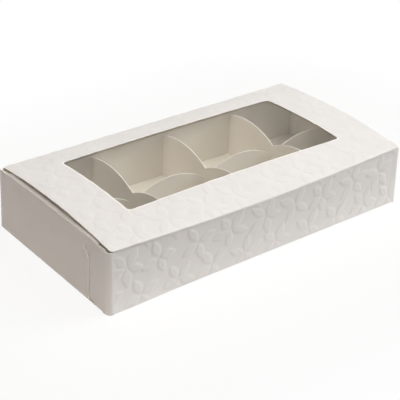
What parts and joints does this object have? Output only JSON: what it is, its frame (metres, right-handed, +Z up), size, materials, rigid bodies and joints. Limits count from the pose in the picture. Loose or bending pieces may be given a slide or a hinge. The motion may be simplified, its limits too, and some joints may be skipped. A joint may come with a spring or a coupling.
{
  "type": "chocolate box",
  "caption": "Shallow white card box with a hinged window lid, tuck flap, dust flaps and a scalloped divider set.",
  "frame": {"origin": "centre of the closed box's footprint, on the surface that it stands on", "axes": "+X along the length, to the right as seen from the front; -Y is the front, where the lid tucks in; +Z up"},
  "size_m": [0.16, 0.0848, 0.032],
  "materials": {
    "carton_card": "matte white card with a pressed leaf pattern",
    "clear_film": "clear glossy film",
    "insert_card": "plain matte white card"
  },
  "bodies": {
    "tray": {"base_panel": "carton_card", "front_wall": "carton_card", "back_wall": "carton_card", "left_end_wall": "carton_card", "right_end_wall": "carton_card", "front_left_lock_tab": "carton_card", "front_right_lock_tab": "carton_card", "back_left_corner_flap": "carton_card", "back_right_corner_flap": "carton_card", "insert_floor": "insert_card", "insert_back_frame": "insert_card", "insert_front_frame": "insert_card", "long_divider": "insert_card", "cross_divider_1": "insert_card", "cross_divider_2": "insert_card", "cross_divider_3": "insert_card"},
    "lid": {"lid_panel": "carton_card", "window_film": "clear_film"},
    "tuck_flap": {"lid_tuck_flap": "carton_card"},
    "left_flap": {"left_dust_flap": "carton_card"},
    "right_flap": {"right_dust_flap": "carton_card"}
  },
  "joints": [
    {"name": "lid_hinge", "type": "hinge", "parent": "tray", "child": "lid", "pos_m": [0, 0.04235, 0.02815], "axis": [-1, 0, 0], "range_deg": [0, 180]},
    {"name": "tuck_crease", "type": "hinge", "parent": "lid", "child": "tuck_flap", "pos_m": [0, -0.0379, 0.02883], "axis": [-1, 0, 0], "range_deg": [0, 45]},
    {"name": "left_dust_crease", "type": "hinge", "parent": "tray", "child": "left_flap", "pos_m": [-0.07955, 0.00135, 0.0281], "axis": [0, -1, 0], "range_deg": [0, 90]},
    {"name": "right_dust_crease", "type": "hinge", "parent": "tray", "child": "right_flap", "pos_m": [0.07955, 0.00135, 0.0281], "axis": [0, 1, 0], "range_deg": [0, 90]}
  ],
  "couplings": [
    {"joint": "tuck_crease", "follows": "lid_hinge", "ratio": 0.25},
    {"joint": "left_dust_crease", "follows": "lid_hinge", "ratio": 0.5},
    {"joint": "right_dust_crease", "follows": "lid_hinge", "ratio": 0.5}
  ]
}
